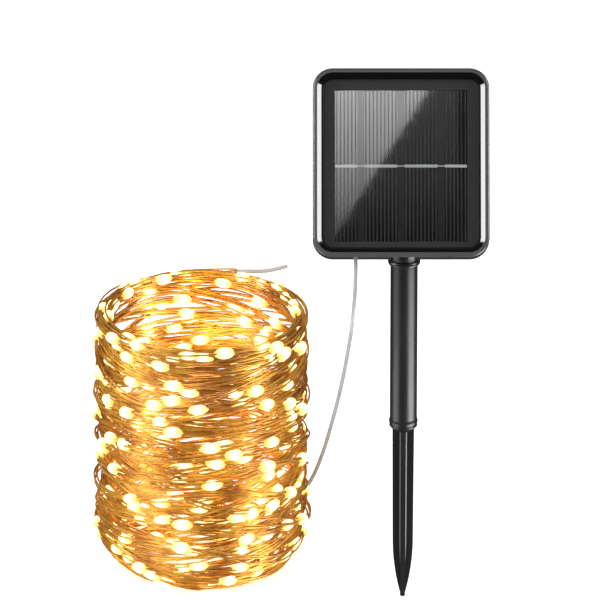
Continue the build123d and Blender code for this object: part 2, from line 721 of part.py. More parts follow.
# The lead's lower part starts just past the circle that the lead's top end sweeps round the hinge.
lead_split_gap = 0.9
lead_start = lead_top_end - face_up * lead_split_gap
lead_rest = lead_radius + 0.1
lead_route = [
    (lead_start.X, lead_start.Y, lead_start.Z),
    (-28.4, -42.3, 195.5),
    (-29.5, -39.5, 182.5),
    (-30.9, -30.0, 167.5),
    (-33.1, -15.5, 147.0),
    (-36.0, 3.0, 123.5),
    (-39.9, 23.5, 97.5),
    (-44.4, 46.5, 70.0),
    (-49.2, 72.5, 44.0),
    (-55.5, 94.0, 22.5),
    (-66.0, 112.5, 6.8),
    (-79.5, 125.0, lead_rest),
    (-90.5, 134.0, lead_rest),
    (-97.8, 143.5, lead_rest + 0.5),
    (-101.0, 153.0, lead_rest + 1.0),
]
lead_wire, lead_wire_length = tube_along(lead_route, lead_radius)
finish(lead_wire, "lead_wire")

# ---- Spare lead: a neat tied coil on the ground behind the string
lead_coil_centre = lead_coil_half_height + lead_radius
lead_coil_round = 3.0
with BuildPart() as lead_coil:
    with BuildSketch(Plane(origin=(lead_coil_x, lead_coil_y, 0), x_dir=(1, 0, 0), z_dir=(0, -1, 0))):
        with Locations((lead_coil_mid, lead_coil_centre)):
            RectangleRounded(2 * lead_coil_half_width, 2 * lead_coil_half_height, lead_coil_round)
    revolve(axis=Axis((lead_coil_x, lead_coil_y, 0), (0, 0, 1)))
finish(lead_coil, "lead_coil")
wound_length = lead_turns * 2 * pi * lead_coil_mid

tie_width, tie_thick, tie_slack = 5.0, 0.5, 0.45
tie_start = (lead_coil_x - tie_width / 2, lead_coil_y + lead_coil_mid, lead_coil_centre)
with BuildPart() as lead_tie:
    with BuildSketch(Plane(origin=tie_start, x_dir=(0, 1, 0), z_dir=(1, 0, 0))):
        inner_width = 2 * (lead_coil_half_width + tie_slack)
        inner_height = 2 * (lead_coil_half_height + tie_slack)
        outer_width, outer_height = inner_width + 2 * tie_thick, inner_height + 2 * tie_thick
        RectangleRounded(outer_width, outer_height, lead_coil_round + tie_thick)
        RectangleRounded(inner_width, inner_height, lead_coil_round, mode=Mode.SUBTRACT)
    extrude(amount=tie_width)
finish(lead_tie, "lead_tie")

# ---- Link from the spare lead to the splice sleeve, where the lead's two cores meet the string's wires
sleeve_radius, sleeve_length, sleeve_round = 2.0, 17.0, 0.7
sleeve_start = Vector(-141.6, 110.3, sleeve_radius + 0.1)
sleeve_way = Vector(0.12, -1.0, 0).normalized()
link_route = [
    (-132.4, 143.5, 7.2),
    (-133.2, 136.5, 6.6),
    (-135.2, 128.5, 4.9),
    (-138.6, 119.5, 2.9),
    (sleeve_start.X, sleeve_start.Y, sleeve_start.Z),
]
lead_link, lead_link_length = tube_along(link_route, lead_radius)
finish(lead_link, "lead_link")
print("lead length", round(lead_top_length + lead_wire_length + wound_length + lead_link_length))

with BuildPart() as splice_sleeve:
    with BuildSketch(Plane(origin=sleeve_start, z_dir=sleeve_way)):
        Circle(sleeve_radius)
    extrude(amount=sleeve_length)
    fillet(splice_sleeve.edges(), sleeve_round)
finish(splice_sleeve, "splice_sleeve")


# ---- Coiled string: a hollow barrel of loose turns whose bottom curls in to a flat ring on the ground
curl_height, rim_high, top_radius = 30.0, 146.8, 61.0
coil_plane = Plane(origin=(coil_x, coil_y, 0), x_dir=(1, 0, 0), z_dir=(0, -1, 0))
coil_axis = Axis((coil_x, coil_y, 0), (0, 0, 1))
curl_mid_radius, curl_mid_height = 55.4, 9.0
inner_curl_radius, inner_curl_height, inner_foot = 47.8, 14.5, 6.0
with BuildPart() as string_coil:
    with BuildSketch(coil_plane):
        with BuildLine():
            ThreePointArc(
                (coil_base_radius, 0), (curl_mid_radius, curl_mid_height), (coil_radius, curl_height)
            )
            Line((coil_radius, curl_height), (top_radius, rim_high))
            ThreePointArc(
                (top_radius, rim_high),
                (top_radius - coil_wall / 2, coil_top),
                (top_radius - coil_wall, rim_high),
            )
            Line((top_radius - coil_wall, rim_high), (coil_radius - coil_wall, curl_height))
            ThreePointArc(
                (coil_radius - coil_wall, curl_height),
                (inner_curl_radius, inner_curl_height),
                (coil_base_radius - coil_wall, inner_foot),
            )
            Line((coil_base_radius - coil_wall, inner_foot), (coil_base_radius - coil_wall, 0))
            Line((coil_base_radius - coil_wall, 0), (coil_base_radius, 0))
        make_face()
    revolve(axis=coil_axis)
finish(string_coil, "string_coil")


def outer_radius(height):
    """The barrel's outer radius at a height, as drawn above."""
    if height < curl_height:
        reach = 1 - height / curl_height
        return coil_base_radius + (coil_radius - coil_base_radius) * (1 - reach * reach) ** 0.5
    return coil_radius + (top_radius - coil_radius) * (height - curl_height) / (rim_high - curl_height)


# ---- Resin drops of the lights, spread evenly over the barrel by golden-angle steps from bottom to top
drop_sunk, drop_low, drop_high, drop_start_turn = 3.4, 5.0, 147.0, 2.0
golden_angle = pi * (3 - 5**0.5)
with BuildPart() as one_drop:
    with BuildSketch(Plane.XY):
        with BuildLine():
            EllipticalCenterArc((0, 0), led_half_length, led_half_width, start_angle=0, arc_size=180)
            Line((-led_half_length, 0), (led_half_length, 0))
        make_face()
    revolve(axis=Axis.X)

drop_places = []
turned = drop_start_turn
for k in range(led_count):
    height = drop_low + (drop_high - drop_low) * k / (led_count - 1)
    radius = outer_radius(height) - drop_sunk
    turned += golden_angle
    x, y = coil_x + radius * cos(turned), coil_y + radius * sin(turned)
    drop_places.append(Location((x, y, height), (0, 0, 90 + turned * 180 / pi)))
with BuildPart() as led_drops:
    with Locations(*drop_places):
        add(one_drop.part)
finish(led_drops, "led_drops")

# ---- Far end of the string: it leaves the coil's back rim and ends in a sealed sleeve
tail_radius, tail_sleeve_radius, tail_sleeve_length, tail_sleeve_round = 0.8, 1.2, 9.0, 0.5
tail_route = [
    (-101.0, 107.6, 151.0),
    (-92.5, 108.8, 153.2),
    (-84.0, 109.2, 154.5),
    (-76.0, 108.4, 155.6),
]
string_tail, tail_length = tube_along(tail_route, tail_radius)
finish(string_tail, "string_tail")
string_length = led_count * led_pitch + tail_length
print("string length", round(string_length))

tail_end = Vector(*tail_route[-1])
tail_way = (tail_end - Vector(*tail_route[-2])).normalized()
with BuildPart() as tail_sleeve:
    with BuildSketch(Plane(origin=tail_end, z_dir=tail_way)):
        Circle(tail_sleeve_radius)
    extrude(amount=tail_sleeve_length)
    fillet(tail_sleeve.edges(), tail_sleeve_round)
finish(tail_sleeve, "tail_sleeve")
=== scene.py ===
import bpy
import math
import random
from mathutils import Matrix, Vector


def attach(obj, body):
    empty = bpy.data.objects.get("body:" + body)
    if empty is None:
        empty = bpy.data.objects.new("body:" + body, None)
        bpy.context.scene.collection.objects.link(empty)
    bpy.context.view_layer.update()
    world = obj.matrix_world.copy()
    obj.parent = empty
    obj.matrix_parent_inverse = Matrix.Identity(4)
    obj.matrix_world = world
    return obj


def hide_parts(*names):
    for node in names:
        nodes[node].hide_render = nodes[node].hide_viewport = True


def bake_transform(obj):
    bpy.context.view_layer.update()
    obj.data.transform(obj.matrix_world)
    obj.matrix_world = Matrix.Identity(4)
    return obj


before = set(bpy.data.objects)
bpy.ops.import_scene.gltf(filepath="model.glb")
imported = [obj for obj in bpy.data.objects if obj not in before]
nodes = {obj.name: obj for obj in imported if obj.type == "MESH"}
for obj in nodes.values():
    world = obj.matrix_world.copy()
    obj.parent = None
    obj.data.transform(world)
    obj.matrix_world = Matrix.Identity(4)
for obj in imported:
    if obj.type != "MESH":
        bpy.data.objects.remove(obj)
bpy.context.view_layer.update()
scene = bpy.context.scene

# The cords' routes and sizes are in millimetres, and everything else is in metres
MM = 0.001
FULL_TURN = 2 * math.pi
chance = random.Random(11)

# ---- Camera: square on to the front, looking 23 degrees down
CAMERA_DOWN, CAMERA_FAR, CAMERA_LENS = math.radians(23.2), 5.0, 532.1
CAMERA_REACH = 20
LOOK_AT = Vector((-0.05818, 0.03197, 0.16879))
view_way = Vector((0, math.cos(CAMERA_DOWN), -math.sin(CAMERA_DOWN)))
camera_data = bpy.data.cameras.new("Camera")
camera_data.lens = CAMERA_LENS
camera_data.sensor_width = 36
camera_data.clip_end = CAMERA_REACH
camera = bpy.data.objects.new("Camera", camera_data)
scene.collection.objects.link(camera)
camera.location = LOOK_AT - view_way * CAMERA_FAR
camera.rotation_euler = view_way.to_track_quat("-Z", "Y").to_euler()
scene.camera = camera

# ---- The panel's face: its tilt, its middle and the bezel's outline
HEAD_TILT = math.radians(30)
FACE_UP = Vector((0, math.sin(HEAD_TILT), math.cos(HEAD_TILT)))
FACE_OUT = Vector((0, -math.cos(HEAD_TILT), math.sin(HEAD_TILT)))
HINGE = Vector((0, 0, 0.239))
FACE_RISE, FACE_AHEAD, HEAD_ASIDE = 0.020, 0.038, Vector((0.0022, 0, 0))
FACE_CENTRE = HINGE + FACE_UP * FACE_RISE + FACE_OUT * FACE_AHEAD - HEAD_ASIDE
PANEL_WIDTH, PANEL_HEIGHT, PANEL_CORNER, RIM_WIDTH = 0.098, 0.1055, 0.0112, 0.0025


# ---- Tools for cords and meshes
def spline_line(points):
    """The points along a smooth open NURBS spline with these control points."""
    curve = bpy.data.curves.new("route", "CURVE")
    curve.dimensions = "3D"
    spline = curve.splines.new("NURBS")
    spline.points.add(len(points) - 1)
    for here, point in zip(spline.points, points):
        here.co = (*(Vector(point) * MM), 1)
    spline.order_u = 3
    spline.use_endpoint_u = True
    curve.resolution_u = 3
    holder = bpy.data.objects.new("route", curve)
    mesh = bpy.data.meshes.new_from_object(holder)
    line = [v.co.copy() for v in mesh.vertices]
    bpy.data.objects.remove(holder)
    bpy.data.meshes.remove(mesh)
    bpy.data.curves.remove(curve)
    return line


def frames_along(line):
    """A tangent and two square directions at each point, carried along without twist."""
    found = []
    side = None
    for i, here in enumerate(line):
        way = (line[min(i + 1, len(line) - 1)] - line[max(i - 1, 0)]).normalized()
        if side is None:
            side = way.orthogonal().normalized()
        side = (side - way * side.dot(way)).normalized()
        found.append((here, way, side, way.cross(side)))
    return found


def ring_points(middle, side, up, radius, sides):
    """A ring of points round a place, its radius in millimetres along two square directions."""
    turns = [FULL_TURN * k / sides for k in range(sides)]
    return [middle + (side * math.cos(turn) + up * math.sin(turn)) * (radius * MM) for turn in turns]


def ring_faces(first, rings, sides):
    """The four-sided faces that join rings of points, the first ring's points starting at first."""
    faces = []
    for ring in range(rings - 1):
        for k in range(sides):
            a = first + ring * sides + k
            b = first + ring * sides + (k + 1) % sides
            faces.append((a, b, b + sides, a + sides))
    return faces


def tube_mesh(line, radii, sides, verts, faces):
    """Adds a closed round tube, with a radius at each point of its line, to lists of corners and faces."""
    first = len(verts)
    for (here, _, side, up), radius in zip(frames_along(line), radii):
        verts.extend(ring_points(here, side, up, radius, sides))
    faces.extend(ring_faces(first, len(line), sides))
    faces.append(tuple(first + k for k in reversed(range(sides))))
    last = first + (len(line) - 1) * sides
    faces.append(tuple(last + k for k in range(sides)))


def add_object(name, verts, faces, material, smooth=True):
    mesh = bpy.data.meshes.new(name)
    mesh.from_pydata([tuple(v) for v in verts], [], faces)
    mesh.validate()
    if smooth:
        mesh.polygons.foreach_set("use_smooth", [True] * len(mesh.polygons))
    mesh.materials.append(material)
    thing = bpy.data.objects.new(name, mesh)
    scene.collection.objects.link(thing)
    return thing


def add_point_values(thing, name, values):
    """A number at each point of a mesh, for its material to read."""
    thing.data.attributes.new(name, "FLOAT", "POINT").data.foreach_set("value", values)


def ease(x):
    """0 to 1, with a soft start and end."""
    x = min(max(x, 0.0), 1.0)
    return x * x * (3 - 2 * x)


# Control points in each turn of a coil, and how far the spline cuts inside a circle of them
TURN_POINTS = 16
SPLINE_SHRINK = 0.981

# ---- The lead's route: straight out of the gland, down past the stake and back to its tied coil
LEAD_RADIUS, LEAD_SIDES = 1.1, 14
lead_points = [
    (-27.2, -24.6, 230.6),
    (-27.2, -29.2, 222.6),
    (-27.3, -34.4, 213.6),
    (-27.6, -39.4, 205.0),
    (-28.3, -42.2, 195.5),
    (-29.4, -39.5, 182.5),
    (-30.9, -30.0, 167.5),
    (-33.1, -15.5, 147.0),
    (-36.0, 3.0, 123.5),
    (-39.9, 23.5, 97.5),
    (-44.4, 46.5, 70.0),
    (-49.2, 72.5, 44.0),
    (-55.5, 94.0, 22.5),
    (-66.0, 112.5, 6.8),
    (-79.5, 125.0, 1.2),
    (-90.5, 134.0, 1.2),
    (-98.1, 143.5, 1.7),
]

# The tied coil: 20 turns in a grid of columns and rows, with a short shift from each to the next
LEAD_COIL_X, LEAD_COIL_Y = -115.6, 146.0
COLUMNS = [17.5, 15.25, 13.0, 10.75, 8.5]
ROWS = [2.2, 4.47, 6.74, 9.0]
LAST_TIED = len(COLUMNS) * len(ROWS) - 1
START_TURN, END_TURN = math.radians(26), math.radians(180 + LAST_TIED * 360)
SHIFT_FROM, SHIFT_TO = math.radians(190), math.radians(290)


def grid_place(turn_index):
    """The column radius and row height of one turn of the tied coil, going to and fro."""
    row, place = divmod(turn_index, len(COLUMNS))
    column = place if row % 2 == 0 else len(COLUMNS) - 1 - place
    return COLUMNS[column], ROWS[row]


steps = round((END_TURN - START_TURN) / FULL_TURN * TURN_POINTS)
for i in range(steps + 1):
    turn = START_TURN + (END_TURN - START_TURN) * i / steps
    index = int(turn // FULL_TURN)
    share = ease((turn % FULL_TURN - SHIFT_FROM) / (SHIFT_TO - SHIFT_FROM))
    (r0, z0), (r1, z1) = grid_place(index), grid_place(min(index + 1, LAST_TIED))
    radius = (r0 + (r1 - r0) * share) / SPLINE_SHRINK
    lead_points.append((
        LEAD_COIL_X + radius * math.cos(turn),
        LEAD_COIL_Y + radius * math.sin(turn),
        z0 + (z1 - z0) * share,
    ))

# from the tied coil to the sleeve, where the string starts
lead_points += [
    (-133.5, 139.5, 8.6),
    (-134.0, 133.0, 6.9),
    (-135.8, 126.0, 4.4),
    (-138.8, 118.5, 2.7),
    (-141.2, 111.5, 2.1),
    (-141.0, 107.4, 2.1),
]
lead_line = spline_line(lead_points)

# ---- The string's route: five passes of loose turns over one barrel outline
COIL = Vector((-114.0, 51.4, 0.0))
BASE_RADIUS, FULL_RADIUS, CURL_HEIGHT = 38.0, 62.4, 30.0
TOP_RADIUS, TOP_HEIGHT = 61.0, 152.8
CURL_STEPS = 30


def outline():
    """The barrel's outer profile, as radius, height and the length along it so far."""
    rows = []
    for k in range(CURL_STEPS + 1):
        height = CURL_HEIGHT * (1 - math.cos(math.pi / 2 * k / CURL_STEPS))
        reach = 1 - height / CURL_HEIGHT
        rows.append((BASE_RADIUS + (FULL_RADIUS - BASE_RADIUS) * (1 - reach * reach) ** 0.5, height))
    rows.append((TOP_RADIUS, TOP_HEIGHT))
    along = [0.0]
    for (r0, z0), (r1, z1) in zip(rows, rows[1:]):
        along.append(along[-1] + math.hypot(r1 - r0, z1 - z0))
    return rows, along


profile, profile_along = outline()
PROFILE_LENGTH = profile_along[-1]


def profile_at(along):
    """Radius and height at a length along the barrel's profile."""
    along = min(max(along, 0.0), PROFILE_LENGTH)
    for k in range(len(profile) - 1):
        if along <= profile_along[k + 1]:
            share = (along - profile_along[k]) / (profile_along[k + 1] - profile_along[k])
            (r0, z0), (r1, z1) = profile[k], profile[k + 1]
            return r0 + (r1 - r0) * share, z0 + (z1 - z0) * share
    return profile[-1]


def soft_limit(x, low, high, give):
    """x held between low and high, easing in over give so that no turn has a kink."""
    if x < low + give:
        return low + give * math.exp((x - low - give) / give)
    if x > high - give:
        return high - give * math.exp((high - give - x) / give)
    return x


# The passes go up and down the barrel by turns, each at its own depth under the outline. Each has its
# own waves: tilts along the profile and swells in depth. A wave is drawn from two ranges, one for its
# amplitude in millimetres and one for its count per turn.
PASS_TURNS = [17.5, 17.5, 17.5, 17.5, 17.6875]
PASS_DEPTHS = [8.0, 6.5, 5.0, 3.5, 2.0]
TILT_WAVES = [
    ((7.5, 11.0), (1.03, 1.07)),
    ((5.5, 7.5), (0.86, 0.91)),
    ((2.5, 3.5), (2.08, 2.2)),
    ((1.2, 1.8), (3.3, 3.6)),
]
SWELL_WAVES = [
    ((0.5, 0.8), (1.36, 1.38)),
    ((0.2, 0.4), (2.6, 2.63)),
]


def wave_set(rows):
    """Sine waves, each an amplitude in millimetres, a count per turn and a phase, drawn from ranges."""
    return [(chance.uniform(*a), chance.uniform(*f), chance.uniform(0, FULL_TURN)) for a, f in rows]


def wave_sum(waves, turned):
    """What the waves add up to, after turning so far round the coil."""
    return sum(a * math.sin(f * turned + p) for a, f, p in waves)


tilts = [wave_set(TILT_WAVES) for _ in PASS_TURNS]
swells = [wave_set(SWELL_WAVES) for _ in PASS_TURNS]
pass_ends = [sum(PASS_TURNS[:k + 1]) for k in range(len(PASS_TURNS))]

# from the sleeve, under the barrel and round to its first turn
string_points = [
    (-140.2, 98.0, 2.1),
    (-139.5, 92.6, 2.0),
    (-138.6, 86.5, 1.6),
    (-134.8, 79.0, 1.3),
    (-127.0, 74.0, 1.2),
    (-115.0, 73.4, 1.2),
    (-102.5, 72.4, 1.2),
    (-91.0, 67.9, 1.2),
    (-82.5, 59.4, 1.3),
]

# Turns lie closer together at the barrel's two ends, and tilt less there
STRING_START, END_CROWDING = math.radians(-2), 0.3
END_FREEDOM, FREE_AFTER = 0.35, 0.12
OVERSHOOT, LOWEST_ALONG, END_GIVE, LOWEST_TURN = 2.0, 1.0, 5.0, 2.2
for i in range(round(pass_ends[-1] * TURN_POINTS)):
    turns_done = i / TURN_POINTS
    turned = FULL_TURN * turns_done
    # each pass's share of this place: one pass gives way to the next within a turn
    begun = [1.0] + [ease(turns_done - end + 0.5) for end in pass_ends[:-1]] + [0.0]
    shares = [here - after for here, after in zip(begun, begun[1:])]
    # how far up the barrel this place is, from 0 to 1
    which = sum(turns_done >= end for end in pass_ends[:-1])
    done = (turns_done - (pass_ends[which] - PASS_TURNS[which])) / PASS_TURNS[which]
    climb = 1 - done if which % 2 else done
    evened = climb - END_CROWDING * math.sin(FULL_TURN * climb) / FULL_TURN
    freedom = END_FREEDOM + (1 - END_FREEDOM) * ease(min(climb, 1 - climb) / FREE_AFTER)
    along = -OVERSHOOT + (PROFILE_LENGTH + 2 * OVERSHOOT) * evened
    along += freedom * sum(w * wave_sum(waves, turned) for w, waves in zip(shares, tilts))
    radius, height = profile_at(soft_limit(along, LOWEST_ALONG, PROFILE_LENGTH, END_GIVE))
    depths = [d + wave_sum(waves, turned) for d, waves in zip(PASS_DEPTHS, swells)]
    radius -= sum(w * depth for w, depth in zip(shares, depths))
    angle = STRING_START - turned
    string_points.append((
        COIL.x + radius / SPLINE_SHRINK * math.cos(angle),
        COIL.y + radius / SPLINE_SHRINK * math.sin(angle),
        max(height, LOWEST_TURN),
    ))

# the far end, out over the rim and up
string_points += [
    (-123.5, 110.0, 152.3),
    (-113.0, 111.6, 152.0),
    (-102.5, 110.6, 152.6),
    (-94.0, 109.8, 153.2),
    (-86.0, 109.5, 153.4),
    (-79.0, 109.0, 153.6),
    (-72.5, 108.4, 155.0),
    (-65.8, 107.8, 157.2),
]
string_line = spline_line(string_points)


# ---- Tools for materials
def make_material(name):
    material = bpy.data.materials.new(name)
    material.use_nodes = True
    tree = material.node_tree
    return material, tree, tree.nodes["Principled BSDF"]


def add_node(tree, kind, **values):
    made = tree.nodes.new(kind)
    for key, value in values.items():
        setattr(made, key, value)
    return made


def noise(tree, scale, detail=3.0, rough=0.5, stretch=(1, 1, 1)):
    """Noise over the object's own coordinates, stretched along its axes."""
    where = add_node(tree, "ShaderNodeTexCoord")
    mapping = add_node(tree, "ShaderNodeMapping")
    mapping.inputs["Scale"].default_value = stretch
    tree.links.new(where.outputs["Object"], mapping.inputs["Vector"])
    made = add_node(tree, "ShaderNodeTexNoise")
    made.inputs["Scale"].default_value = scale
    made.inputs["Detail"].default_value = detail
    made.inputs["Roughness"].default_value = rough
    tree.links.new(mapping.outputs["Vector"], made.inputs["Vector"])
    return made.outputs["Fac"]


def ramp(tree, source, low, high, start=0.3, end=0.7):
    """A colour that goes from low to high as the source goes from start to end."""
    made = add_node(tree, "ShaderNodeValToRGB")
    made.color_ramp.elements[0].position = start
    made.color_ramp.elements[1].position = end
    made.color_ramp.elements[0].color = (*low, 1)
    made.color_ramp.elements[1].color = (*high, 1)
    tree.links.new(source, made.inputs["Fac"])
    return made.outputs["Color"]


def value_range(tree, source, low, high, start=0.3, end=0.7):
    """A value that goes from low to high as the source goes from start to end."""
    made = add_node(tree, "ShaderNodeMapRange")
    made.inputs["From Min"].default_value = start
    made.inputs["From Max"].default_value = end
    made.inputs["To Min"].default_value = low
    made.inputs["To Max"].default_value = high
    tree.links.new(source, made.inputs["Value"])
    return made.outputs["Result"]


def bump(tree, shader, height, strength, distance):
    made = add_node(tree, "ShaderNodeBump")
    made.inputs["Strength"].default_value = strength
    made.inputs["Distance"].default_value = distance
    tree.links.new(height, made.inputs["Height"])
    tree.links.new(made.outputs["Normal"], shader.inputs["Normal"])


def calculate(tree, operation, *values):
    """One maths node on sockets or numbers."""
    made = add_node(tree, "ShaderNodeMath", operation=operation)
    for place, value in zip(made.inputs, values):
        if isinstance(value, (int, float)):
            place.default_value = value
        else:
            tree.links.new(value, place)
    return made.outputs[0]


def plastic(name, low, high, rough, grain=900.0, grain_height=0.00003, strength=0.4,
            coat=0.0, metallic=0.0, patch=60.0, stretch=(1, 1, 1)):
    """Moulded plastic or metal: mottled colour and roughness, and a fine grain."""
    material, tree, shader = make_material(name)
    patches = noise(tree, patch, 4.0, 0.6, stretch)
    tree.links.new(ramp(tree, patches, low, high), shader.inputs["Base Color"])
    tree.links.new(value_range(tree, patches, *rough), shader.inputs["Roughness"])
    shader.inputs["Metallic"].default_value = metallic
    shader.inputs["Coat Weight"].default_value = coat
    shader.inputs["Coat Roughness"].default_value = 0.04
    bump(tree, shader, noise(tree, grain, 2.0, 0.5, stretch), strength, grain_height)
    return material


# ---- The bezel: gloss black, with its flat front rim satin and a little lighter, that lighter grey a painted sheen
def face_coordinate(tree, way):
    """How far a point lies from the middle of the panel's face along one direction, in metres."""
    where = add_node(tree, "ShaderNodeTexCoord")
    product = add_node(tree, "ShaderNodeVectorMath", operation="DOT_PRODUCT")
    product.inputs[1].default_value = way
    tree.links.new(where.outputs["Object"], product.inputs[0])
    return calculate(tree, "SUBTRACT", product.outputs["Value"], FACE_CENTRE.dot(way))


def rim_mask(tree):
    """1 on the panel's narrow front rim, and 0 on the rest of the bezel."""
    squares = []
    for way, half in ((Vector((1, 0, 0)), PANEL_WIDTH / 2), (FACE_UP, PANEL_HEIGHT / 2)):
        across = calculate(tree, "ABSOLUTE", face_coordinate(tree, way))
        past_corner = calculate(tree, "SUBTRACT", across, half - PANEL_CORNER)
        squares.append(calculate(tree, "POWER", calculate(tree, "MAXIMUM", past_corner, 0.0), 2.0))
    from_corner = calculate(tree, "SQRT", calculate(tree, "ADD", *squares))
    near_edge = calculate(tree, "GREATER_THAN", from_corner, PANEL_CORNER - RIM_WIDTH)
    at_front = calculate(tree, "GREATER_THAN", face_coordinate(tree, FACE_OUT), -RIM_WIDTH)
    return calculate(tree, "MULTIPLY", near_edge, at_front)


RIM_ROUGHER = 0.28
bezel_gloss, tree, shader = make_material("bezel_gloss")
rim = rim_mask(tree)
mottle = noise(tree, 60.0, 4.0, 0.6)
gloss = ramp(tree, mottle, (0.001, 0.001, 0.0013), (0.0018, 0.0018, 0.0022))
# the rim's lighter grey is painted sheen, standing in for the light its satin finish catches
satin_painted_sheen = ramp(tree, mottle, (0.051, 0.051, 0.052), (0.060, 0.060, 0.062))
colour = add_node(tree, "ShaderNodeMix", data_type="RGBA")
tree.links.new(rim, colour.inputs["Factor"])
tree.links.new(gloss, colour.inputs["A"])
tree.links.new(satin_painted_sheen, colour.inputs["B"])
tree.links.new(colour.outputs["Result"], shader.inputs["Base Color"])
rough = calculate(tree, "MULTIPLY_ADD", rim, RIM_ROUGHER, value_range(tree, mottle, 0.08, 0.13))
tree.links.new(rough, shader.inputs["Roughness"])
shader.inputs["Coat Weight"].default_value = 0.3
shader.inputs["Coat Roughness"].default_value = 0.06
bump(tree, shader, noise(tree, 260.0, 2.0), 0.08, 0.00002)

# ---- The plain finishes: two colours, a range of roughness, and the grain where it isn't the usual one
face_matte = plastic(
    "face_matte", (0.011, 0.011, 0.012), (0.014, 0.014, 0.015), (0.60, 0.70),
    grain=1500.0, grain_height=0.00002,
)
backsheet = plastic(
    "backsheet_black", (0.015, 0.015, 0.017), (0.020, 0.020, 0.022), (0.60, 0.7),
    grain=1200.0, grain_height=0.00001, strength=0.2,
)
silicon = plastic(
    "silicon", (0.001, 0.001, 0.0015), (0.002, 0.002, 0.003), (0.03, 0.05),
    grain=300.0, grain_height=0.0, strength=0.0, patch=40.0,
)
finger_silver = plastic(
    "finger_silver", (0.048, 0.048, 0.050), (0.062, 0.062, 0.064), (0.3, 0.4),
    grain_height=0.0, strength=0.0,
)
ribbon_silver = plastic(
    "ribbon_silver", (0.62, 0.63, 0.65), (0.78, 0.79, 0.80), (0.3, 0.45),
    grain=700.0, grain_height=0.00002,
)
housing_black = plastic(
    "housing_black", (0.018, 0.018, 0.019), (0.026, 0.026, 0.028), (0.42, 0.58),
    grain=800.0, grain_height=0.00006, strength=0.7,
)
seal_rubber = plastic("seal_rubber", (0.022, 0.022, 0.022), (0.034, 0.034, 0.034), (0.6, 0.75))
screw_steel = plastic(
    "screw_steel", (0.42, 0.42, 0.44), (0.60, 0.60, 0.62), (0.22, 0.38),
    grain=500.0, grain_height=0.00002, strength=0.3, metallic=1.0,
)
bolt_black = plastic(
    "bolt_black", (0.022, 0.022, 0.023), (0.045, 0.045, 0.047), (0.28, 0.42),
    grain=500.0, grain_height=0.00002, strength=0.3, metallic=0.6,
)
knob_black = plastic(
    "knob_black", (0.016, 0.016, 0.017), (0.024, 0.024, 0.025), (0.35, 0.5),
    grain_height=0.00004, strength=0.5,
)
washer_nylon = plastic("washer_nylon", (0.07, 0.07, 0.07), (0.095, 0.095, 0.095), (0.4, 0.55))
cell_wrap = plastic("cell_wrap", (0.08, 0.22, 0.10), (0.12, 0.29, 0.14), (0.2, 0.35), coat=0.4)
contact_metal = plastic(
    "contact_metal", (0.62, 0.60, 0.53), (0.76, 0.74, 0.66), (0.25, 0.4), metallic=1.0,
)
board_green = plastic("board_green", (0.015, 0.15, 0.06), (0.025, 0.21, 0.09), (0.25, 0.35), coat=0.3)
chip_black = plastic("chip_black", (0.025, 0.025, 0.025), (0.035, 0.035, 0.035), (0.4, 0.55))
button_rubber = plastic(
    "button_rubber", (0.055, 0.055, 0.06), (0.075, 0.075, 0.08), (0.55, 0.7),
    grain=1100.0, grain_height=0.00004, strength=0.5,
)
wire_red = plastic("wire_red", (0.42, 0.02, 0.015), (0.55, 0.035, 0.025), (0.3, 0.4))
gland_black = plastic("gland_black", (0.016, 0.016, 0.016), (0.024, 0.024, 0.024), (0.45, 0.6))
stake_black = plastic(
    "stake_black", (0.009, 0.009, 0.0095), (0.013, 0.013, 0.0135), (0.30, 0.38),
    grain=700.0, grain_height=0.00004, strength=0.45, stretch=(1, 1, 0.35),
)
lead_grey = plastic(
    "lead_grey", (0.36, 0.365, 0.38), (0.44, 0.445, 0.46), (0.25, 0.38),
    grain=400.0, strength=0.3, coat=0.15,
)
tie_black = plastic("tie_black", (0.018, 0.018, 0.018), (0.028, 0.028, 0.028), (0.35, 0.5))
sleeve_clear = plastic("sleeve_clear", (0.42, 0.42, 0.43), (0.54, 0.54, 0.55), (0.25, 0.4), coat=0.3)

# ---- The string's copper: enamelled, darker and brighter in patches along the strands
copper_wire, tree, shader = make_material("copper_wire")
patches = noise(tree, 45.0, 5.0, 0.65)
colour = ramp(tree, patches, (0.48, 0.165, 0.012), (0.98, 0.50, 0.065), 0.38, 0.60)
tree.links.new(colour, shader.inputs["Base Color"])
tree.links.new(value_range(tree, patches, 0.42, 0.24), shader.inputs["Roughness"])
shader.inputs["Metallic"].default_value = 0.5
bump(tree, shader, noise(tree, 900.0), 0.3, 0.00003)

# ---- The cover over the cells: clear, and glossy by Fresnel
clear_cover, tree, shader = make_material("clear_cover")
tree.nodes.remove(shader)
seen = add_node(tree, "ShaderNodeBsdfTransparent")
seen.inputs["Color"].default_value = (0.97, 0.975, 0.98, 1)
shine = add_node(tree, "ShaderNodeBsdfGlossy")
shine.inputs["Color"].default_value = (1, 1, 1, 1)
tree.links.new(value_range(tree, noise(tree, 120.0), 0.02, 0.05), shine.inputs["Roughness"])
fresnel = add_node(tree, "ShaderNodeFresnel")
fresnel.inputs["IOR"].default_value = 1.5
both = add_node(tree, "ShaderNodeMixShader")
tree.links.new(fresnel.outputs["Fac"], both.inputs["Fac"])
tree.links.new(seen.outputs[0], both.inputs[1])
tree.links.new(shine.outputs[0], both.inputs[2])
tree.links.new(both.outputs[0], tree.nodes["Material Output"].inputs["Surface"])

